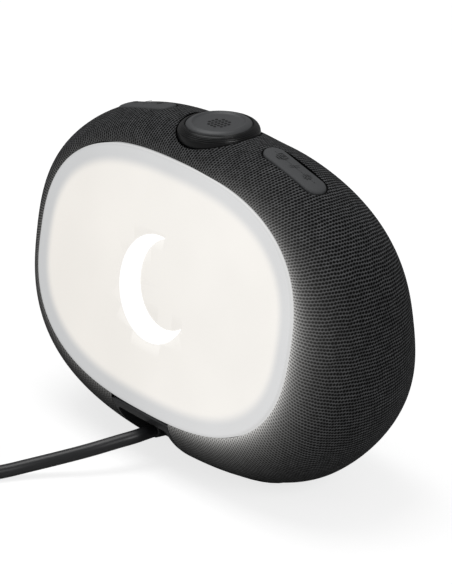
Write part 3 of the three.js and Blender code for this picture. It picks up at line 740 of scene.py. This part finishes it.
satin = wire(tree, "ShaderNodeBump", {"Height": fine, "Distance": 0.01 * mm, "Strength": 0.5})
tree.links.new(satin.outputs["Normal"], shader.inputs["Normal"])
shader.inputs["Specular IOR Level"].default_value = 0.35
lit_panel.data.materials.clear()
lit_panel.data.materials.append(opal)
settle(lit_panel, "case", "diffuser", "light_diffuser")

# ---------- Crescent inlay ----------
# An inlay of clear white acrylic, pressed into the panel's pocket and left a hair proud of it, so
# that it reads brighter than the opal round it.
crescent_points, crescent_faces = [], []
for grow, height in [(0.0, -0.7), (0.02, 0.0), (-0.06, 0.1), (-0.2, 0.14)]:
    crescent_points += [lit_frame @ Vector((x, y, lens_proud + height)) for x, y in crescent(grow)]
count = len(crescent_points) // 4
for k in range(3):
    crescent_faces += ring_faces(count, k * count, (k + 1) * count)
crescent_faces += [tuple(range(count))[::-1], tuple(range(3 * count, 4 * count))]
crescent_mesh = solid_mesh("crescent_inlay", crescent_points, crescent_faces, smooth=False)
crescent_inlay = finished("crescent_inlay", crescent_mesh, ("TRIANGULATE", {}))
white = moulded("white inlay", (0.55, 0.55, 0.55), 0.4, grain=2500, depth=0.01, change=0.01)
white_shader = white.node_tree.nodes["Principled BSDF"]
white_shader.inputs["Emission Color"].default_value = (0.85, 0.85, 0.845, 1)
white_shader.inputs["Emission Strength"].default_value = 1.0
crescent_inlay.data.materials.append(white)
settle(crescent_inlay, "case", "mark", "light_mark_inlay")

# ---------- Lamps and reflector behind the panel ----------
# A white reflective tray is clipped behind the panel. A white board across it carries six lamps
# under yellow phosphor.
dress(moulded("white reflector", (0.86, 0.86, 0.85), 0.55, grain=1800, depth=0.04, change=0.05),
      "light_reflector_tray")
phosphor = moulded("lamp phosphor", (0.9, 0.74, 0.28), 0.3, grain=4000, depth=0.02, change=0.3)
dress(phosphor, *[f"led_{i}" for i in range(1, 7)])

# ---------- Display ----------
# A polished black-tinted acrylic cap, clipped into the other oval. The screen bonded behind it
# shows through as a slightly lighter field.
screen_cap = finished("screen_cap", lens_cap("screen_cap", display_frame_place, 1.0))
tinted, tree, shader = new_finish("black tinted lens")
object_place = wire(tree, "ShaderNodeTexCoord").outputs["Object"]
place = parts_of(object_place)
above_middle = sums("SUBTRACT", place["Z"], face_z * mm)
screen = sums("MULTIPLY", smooth_range(sums("ABSOLUTE", place["X"]), 0.0552, 0.0560, 1.0, 0.0),
              smooth_range(sums("ABSOLUTE", above_middle), 0.0300, 0.0306, 1.0, 0.0))
smear = noise(object_place, 60.0, 5.0)
tree.links.new(tint(screen, (0.004, 0.0042, 0.0048), (0.0085, 0.0092, 0.0108)), shader.inputs["Base Color"])
tree.links.new(smooth_range(smear, 0.3, 0.75, 0.045, 0.11), shader.inputs["Roughness"])
shader.inputs["Coat Weight"].default_value = 0.6
shader.inputs["Coat Roughness"].default_value = 0.03
# The idle screen glows through the tint: a dark blue field and a plain dial with two hands.
dial_x = sums("MULTIPLY", place["X"], 1 / mm)
dial_z = sums("MULTIPLY", above_middle, 1 / mm / math.cos(lean))
dial_radius = sums("SQRT", sums("ADD", sums("MULTIPLY", dial_x, dial_x), sums("MULTIPLY", dial_z, dial_z)))
hour = sums("MULTIPLY", sums("ARCTAN2", dial_z, dial_x), 6 / math.pi)
off_tick = sums("MULTIPLY", sums("PINGPONG", hour, 0.5), sums("MULTIPLY", dial_radius, math.pi / 6))
tick_half, tick_from, tick_to, hand_tail = 0.4, 19.5, 23.0, -2.0


def inside_band(value, low, high):
    return sums("MULTIPLY", sums("GREATER_THAN", value, low), sums("LESS_THAN", value, high))


drawn = sums("MULTIPLY", sums("LESS_THAN", off_tick, tick_half), inside_band(dial_radius, tick_from, tick_to))
for bearing, reach, half in [(math.radians(38), 11.5, 0.75), (math.radians(122), 16.5, 0.5)]:
    along_hand = sums("ADD", sums("MULTIPLY", dial_x, math.cos(bearing)),
                      sums("MULTIPLY", dial_z, math.sin(bearing)))
    off_hand = sums("ABSOLUTE", sums("SUBTRACT", sums("MULTIPLY", dial_z, math.cos(bearing)),
                                     sums("MULTIPLY", dial_x, math.sin(bearing))))
    hand = sums("MULTIPLY", sums("LESS_THAN", off_hand, half), inside_band(along_hand, hand_tail, reach))
    drawn = sums("MAXIMUM", drawn, hand)
idle = tint(drawn, (0.006, 0.010, 0.020), (0.62, 0.60, 0.55))
tree.links.new(tint(screen, (0.0, 0.0, 0.0), idle), shader.inputs["Emission Color"])
shader.inputs["Emission Strength"].default_value = 1.0
screen_cap.data.materials.append(tinted)
settle(screen_cap, "case", "display_lens", "display_lens")
dress(moulded("display glass stack", (0.01, 0.011, 0.014), 0.2, grain=200, depth=0.005, change=0.3),
      "display_module")

# ---------- Volume knob ----------
# A satin black ring turns without end on the encoder. Its shoulder has fine turned grooves; the
# band below them swells out and draws in again towards the cover.
knob_top, cap_radius, knob_height, knob_bore = 133.3, 12.8, 9.4, 11.0
ring_bore = cap_radius + 0.28
groove_count, groove_depth, shoulder_steps, shoulder_sweep = 6, 0.20, 96, math.radians(72)
shoulder_radius, shoulder_drop, shoulder_wide, shoulder_high = 13.25, 4.6, 2.65, 3.6
shoulder = []
for k in range(shoulder_steps + 1):
    t = k / shoulder_steps
    bend = shoulder_sweep * t
    groove = groove_depth * max(0.0, -math.cos(2 * math.pi * groove_count * t)) ** 0.8
    shoulder.append((shoulder_radius + (shoulder_wide - groove) * math.sin(bend),
                     knob_top - shoulder_drop + (shoulder_high - groove) * math.cos(bend)))
ring_profile = [(ring_bore, knob_top - 1.25), (ring_bore + 0.08, knob_top - 1.05)] + shoulder
ring_profile += [(r, knob_top - down) for r, down in [
    (15.84, 4.0), (15.9, 4.8), (15.86, 5.6), (15.74, 6.4), (15.5, 7.3), (15.15, 8.2), (14.75, 8.95),
    (14.4, 9.3), (14.2, knob_height), (knob_bore, knob_height), (knob_bore, 4.6), (ring_bore, 4.6)]]
turning_ring = finished("turning_ring", closed_mesh("turning_ring", lathe(ring_profile, 128), loop=True))
turning_ring.data.materials.append(
    moulded("satin black turned ring", (0.005, 0.0053, 0.0058), 0.30, grain=1800, depth=0.004, change=0.12,
            Specular_IOR_Level=0.42))
settle(turning_ring, "knob", "knob_ring", "knob_ring")

# ---------- Knob cap ----------
# A soft-touch grey cap with a rounded raised rim and a dished middle. It presses straight down
# inside the ring; small moulded dots in its middle are for the fingertip.
dish_depth, dish_radius, dish_rise, dish_steps = 1.1, 8.6, 0.3, 14
cap_profile = [(r, knob_top - dish_depth + dish_rise * (r / dish_radius) ** 2)
               for r in [0.01] + [dish_radius * k / dish_steps for k in range(1, dish_steps + 1)]]
cap_profile += [(r, knob_top - down) for r, down in [
    (9.2, 0.72), (9.7, 0.55), (10.0, 0.32), (10.2, 0.12), (10.4, 0.02), (10.65, 0.0), (11.2, 0.12),
    (11.7, 0.32), (12.15, 0.58), (12.5, 0.86), (12.72, 1.15), (12.8, 1.5), (12.8, 2.5), (12.5, 3.2),
    (2.6, 3.2), (2.6, 13.0), (0.01, 13.0)]]
press_cap = finished("press_cap", closed_mesh("press_cap", lathe(cap_profile, 112)))
soft_touch = moulded("soft-touch grey", (0.055, 0.057, 0.060), 0.47, grain=3000, depth=0.03, change=0.10)
press_cap.data.materials.append(soft_touch)
settle(press_cap, "cap", "knob_cap", "knob_cap")

# A square lattice of dots, kept inside a circle and lifted onto the dish.
dots = bpy.data.node_groups.new("dot pattern", "GeometryNodeTree")
dots.interface.new_socket(name="Geometry", in_out="OUTPUT", socket_type="NodeSocketGeometry")
for name, kind, value in [("Spacing", "NodeSocketFloat", 0.0018), ("Columns", "NodeSocketInt", 5),
                          ("Pattern radius", "NodeSocketFloat", 0.0046),
                          ("Dot radius", "NodeSocketFloat", 0.0006)]:
    dots.interface.new_socket(name=name, in_out="INPUT", socket_type=kind).default_value = value
given = dots.nodes.new("NodeGroupInput").outputs
gaps = wire(dots, "ShaderNodeMath", {0: given["Columns"], 1: 1.0}, operation="SUBTRACT").outputs[0]
span = wire(dots, "ShaderNodeMath", {0: gaps, 1: given["Spacing"]}, operation="MULTIPLY").outputs[0]
lattice = wire(dots, "GeometryNodeMeshGrid", {"Size X": span, "Size Y": span, "Vertices X": given["Columns"],
                                              "Vertices Y": given["Columns"]}).outputs["Mesh"]
flat_place = wire(dots, "ShaderNodeVectorMath", {0: dots.nodes.new("GeometryNodeInputPosition").outputs[0],
                                                 1: (1.0, 1.0, 0.0)}, operation="MULTIPLY").outputs[0]
from_centre = wire(dots, "ShaderNodeVectorMath", {0: flat_place}, operation="LENGTH").outputs["Value"]
inside = wire(dots, "FunctionNodeCompare", {0: from_centre, 1: given["Pattern radius"]},
              operation="LESS_THAN").outputs[0]
bowl = wire(dots, "ShaderNodeMath", {0: from_centre, 1: from_centre}, operation="MULTIPLY").outputs[0]
lift = wire(dots, "ShaderNodeMath", {0: bowl, 1: dish_rise * mm / (dish_radius * mm) ** 2,
                                     2: (knob_top - dish_depth) * mm}, operation="MULTIPLY_ADD").outputs[0]
lifted = wire(dots, "GeometryNodeSetPosition", {"Geometry": lattice, "Offset": wire(
    dots, "ShaderNodeCombineXYZ", {"Z": lift}).outputs[0]}).outputs[0]
dome = wire(dots, "GeometryNodeMeshUVSphere",
            {"Segments": 14, "Rings": 8, "Radius": given["Dot radius"]}).outputs["Mesh"]
flat_dome = wire(dots, "GeometryNodeTransform", {"Geometry": dome, "Scale": (1.0, 1.0, 0.6)}).outputs[0]
placed = wire(dots, "GeometryNodeInstanceOnPoints",
              {"Points": lifted, "Selection": inside, "Instance": flat_dome}).outputs[0]
real = wire(dots, "GeometryNodeRealizeInstances", {0: placed}).outputs[0]
# The dots are coloured darker than the cap: painted shade for the shading round each small dot.
dot_grip_and_shade = moulded("soft-touch dots", (0.022, 0.0225, 0.023), 0.55, grain=3000, depth=0.02, change=0.10,
                   Specular_IOR_Level=0.2)
painted = wire(dots, "GeometryNodeSetMaterial", {"Geometry": real, "Material": dot_grip_and_shade}).outputs[0]
wire(dots, "NodeGroupOutput", {"Geometry": painted})
cap_dots = finished("cap_dots", bpy.data.meshes.new("cap_dots"), ("NODES", {"node_group": dots}))
cap_dots.data.polygons.foreach_set("use_smooth", [True] * len(cap_dots.data.polygons))
settle(cap_dots, "cap", "knob_cap")

# ---------- Encoder, cap switch and return spring ----------
# Under the knob a hollow-shaft encoder in black plastic turns round a tactile switch, and a coiled
# steel spring lifts the cap. The other small black and bright parts share their finishes.
inner_black = moulded("black glass-filled plastic", (0.016, 0.0162, 0.017), 0.45, grain=3000, depth=0.05)
dress(inner_black, "encoder_rotor", "encoder_stator", "cap_switch", "left_inner_switch", "left_outer_switch",
      "right_inner_switch", "right_outer_switch", "dc_jack", "speaker_frame", "passive_radiator_frame")
bright_steel = moulded("bright steel", (0.56, 0.57, 0.58), 0.28, grain=700, depth=0.01, change=0.2,
                       metallic=1.0)
dress(bright_steel, "cap_spring", "processor_shield", "wireless_module", "speaker_magnet",
      *[f"base_screw_{i}" for i in range(1, 5)])

# ---------- Rocker pads ----------
# Two dark grey silicone pads, 31 by 9 mm, follow the crest and rock on two switches each. Their
# edges are rounded, raised symbols mark the two ends with a short bar between them, and a black
# foam gasket round each closes the slit to the knit.
pad_rubber = moulded("grey silicone", (0.072, 0.074, 0.077), 0.66, grain=2800, depth=0.035, change=0.10,
                     Specular_IOR_Level=0.25)
# The foam is a real gasket, and its near-black colour is also painted shade for the slit round each pad.
gasket_foam_and_shade = moulded("black foam", (0.004, 0.004, 0.0042), 0.9, grain=1800, depth=0.05,
                      Specular_IOR_Level=0.1)


pad_proud, pad_crown = 0.5, 0.14


def pad_surface(x, y, lift=0.0):
    return Vector((x, y, float(crest_height(x, y, -pad_proud)) + lift))


def pad_rings(centre, stations):
    """Rings round a pad; each station is (growth of the outline, depth under the pad's surface)."""
    return [[pad_surface(centre + x, y, -drop) for x, y in stadium(pad_half + grow, pad_radius + grow, 22)]
            for grow, drop in stations]


pad_stations = [(-0.35, 3.4), (0.0, 3.0), (0.0, 0.9), (-0.06, 0.62), (-0.2, 0.36), (-0.42, 0.18),
                (-0.75, 0.05), (-1.2, -0.02), (-2.0, -0.08), (-3.0, -0.12), (-4.0, -pad_crown),
                (-4.7, -pad_crown)]
gasket_stations = [(0.14, 1.7), (0.14, 1.0), (0.18, 0.9), (0.68, 0.9), (0.72, 1.0), (0.72, 1.7)]


stroke_width, stroke_height = 0.20, 0.12
# The section of a raised stroke: to the side in widths, and up in heights.
stroke_section = [(-1.25, -0.15), (-1.0, 0.6), (-0.6, 1.0), (0.6, 1.0), (1.0, 0.6), (1.25, -0.15)]


def raised_lines(name, centre, strokes):
    """Raised strokes that follow the pad's surface; each is (closed, points)."""
    points, faces = [], []
    sides = len(stroke_section)
    for closed, line in strokes:
        line = [np.array(p, float) for p in line]
        count, start = len(line), len(points)
        for k, at in enumerate(line):
            before = line[k - 1] if closed or k else at
            after = line[(k + 1) % count] if closed or k < count - 1 else at
            heading = after - before
            side = np.array([-heading[1], heading[0]]) / (np.linalg.norm(heading) or 1)
            for reach, lift in stroke_section:
                x, y = at + side * stroke_width * reach
                points.append(pad_surface(centre + x, y, pad_crown + stroke_height * lift))
        for k in range(count if closed else count - 1):
            faces += ring_faces(sides, start + sides * k, start + sides * ((k + 1) % count))
        if not closed:
            last = start + sides * (count - 1)
            faces += [tuple(range(start, start + sides))[::-1], tuple(range(last, last + sides))]
    return solid_mesh(name, points, faces)


icon_x, sun_x, arm = 7.4, 7.3, (-1.2, 0, 1.2)
separator = (False, [(-0.9, -1.6), (-0.3, -0.55), (0.3, 0.55), (0.9, 1.6)])
screen_icon = [(True, [(x - icon_x, y + 0.4) for x, y in rounded_box(1.9, 1.2, 0.3, 3)])]
screen_icon += [(False, [(x - icon_x, height) for x in (-half, 0, half)])
                for half, height in [(1.0, -1.75), (0.9, 0.75), (0.9, 0.05)]]
sun_icon = [(False, [(sun_x + r * math.cos(a), r * math.sin(a)) for r in (0.75, 1.2, 1.65)])
            for a in np.radians(np.arange(0, 360, 45))]
plus_icon = [(False, [(icon_x + x, 0) for x in arm]), (False, [(icon_x, y) for y in arm])]
minus_icon = [(False, [(x - icon_x, 0) for x in arm])]
for centre, body, node, icons in [(-pad_x, "left_rocker", "left_pad", plus_icon + minus_icon + [separator]),
                                  (pad_x, "right_rocker", "right_pad", screen_icon + sun_icon + [separator])]:
    pad = finished(f"{body}_pad", closed_mesh(f"{body}_pad", pad_rings(centre, pad_stations)))
    symbols = finished(f"{node}_symbols", raised_lines(f"{node}_symbols", centre, icons))
    gasket = finished(f"{node}_gasket",
                      closed_mesh(f"{node}_gasket", pad_rings(centre, gasket_stations), loop=True))
    for piece, finish in [(pad, pad_rubber), (symbols, pad_rubber), (gasket, gasket_foam_and_shade)]:
        piece.data.materials.append(finish)
    settle(pad, body, "pad", node)
    settle(symbols, body, "pad")
    settle(gasket, "case", "frame")

# ---------- Cable bay ----------
# A smooth satin black moulding fills the notch at the foot of the lit side. Its front follows the
# body, its rim is rounded, and the channel in it leads the plug out under the lip.
bay_half, bay_top, bay_roof, bay_low = 15.2, 19.2, 22.4, 1.9
bay_wall, bay_rear, bay_corner, below_table = 2.0, -15.0, 2.0, -12.0
bay_x = bay_x_middle + np.linspace(-bay_half - bay_wall, bay_half + bay_wall, 35)
bay_rings = []
for z in np.linspace(bay_low, bay_roof, 25):
    front = [(x, float(front_depth(x, z)), z) for x in bay_x]
    bay_rings.append(front + [(x, bay_rear, z) for x in bay_x[::-1]])
bay_block = finished("bay_block", closed_mesh("bay_block", bay_rings, smooth=False))
channel = [(bay_x_middle + side * bay_half, below_table) for side in (-1, 1)]
for side, start in [(1, 0), (-1, 90)]:
    for bend in np.radians(range(start, start + 91, 10)):
        channel.append((bay_x_middle + side * (bay_half - bay_corner) + bay_corner * math.cos(bend),
                        bay_top - bay_corner + bay_corner * math.sin(bend)))
carve(bay_block, [
    prism("channel", channel, 17.0, 70, Matrix.Rotation(math.pi / 2, 4, "X")),
    prism("jack opening", circle(4.9, 40), -4, 2, plug_frame),
])
bay_moulding = finished("bay_moulding", bay_block.data,
                        ("BEVEL", {"width": 0.7 * mm, "segments": 3, "limit_method": "ANGLE",
                                   "angle_limit": math.radians(40), "harden_normals": False}))
bpy.data.objects.remove(bay_block)
bay_moulding.data.polygons.foreach_set("use_smooth", [True] * len(bay_moulding.data.polygons))
bay_moulding.data.set_sharp_from_angle(angle=math.radians(45))
bay_moulding.data.materials.clear()
bay_moulding.data.materials.append(
    moulded("satin black moulding", (0.020, 0.0205, 0.022), 0.36, grain=2600, depth=0.015, change=0.12))
settle(bay_moulding, "case", "bay", "cable_bay")

# ---------- Base and foot ----------
# A moulded base plate, held by four screws, closes the bottom. A matt silicone foot is stuck to it.
dress(moulded("base plate plastic", (0.02, 0.0205, 0.0215), 0.58, grain=2400, depth=0.07), "base_plate")
dress(moulded("black silicone", (0.011, 0.0112, 0.0118), 0.72, grain=1500, depth=0.05, change=0.35),
      "rubber_foot")

# ---------- Electronics ----------
# Green boards carry copper traces under the mask, the lamp board is white, and the speaker and
# the passive radiator have coated paper cones. All are screwed or clipped inside the housing.
def board(name, mask, trace):
    """A circuit board: a grid of traces shows faintly through the mask."""
    material = moulded(name, mask, 0.42, grain=900, depth=0.02)
    nodes = material.node_tree
    where = wire(nodes, "ShaderNodeTexCoord").outputs["Object"]
    upright = wire(nodes, "ShaderNodeMapping", {"Vector": where, "Rotation": (math.pi / 2, 0, 0)}).outputs[0]
    lines = wire(nodes, "ShaderNodeTexBrick", {"Vector": upright, "Scale": 160.0, "Color1": (*mask, 1),
                                               "Color2": (*mask, 1), "Mortar": (*trace, 1),
                                               "Mortar Size": 0.06})
    nodes.links.new(lines.outputs["Color"], nodes.nodes["Group"].inputs["Colour"])
    return material


dress(board("green circuit board", (0.010, 0.085, 0.038), (0.02, 0.15, 0.07)),
      "main_board", "left_switch_board", "right_switch_board")
dress(board("white circuit board", (0.80, 0.82, 0.80), (0.68, 0.70, 0.68)), "led_board")
dress(moulded("coated paper cone", (0.017, 0.0172, 0.018), 0.75, grain=700, depth=0.2, change=0.4),
      "speaker_cone", "passive_radiator_cone")
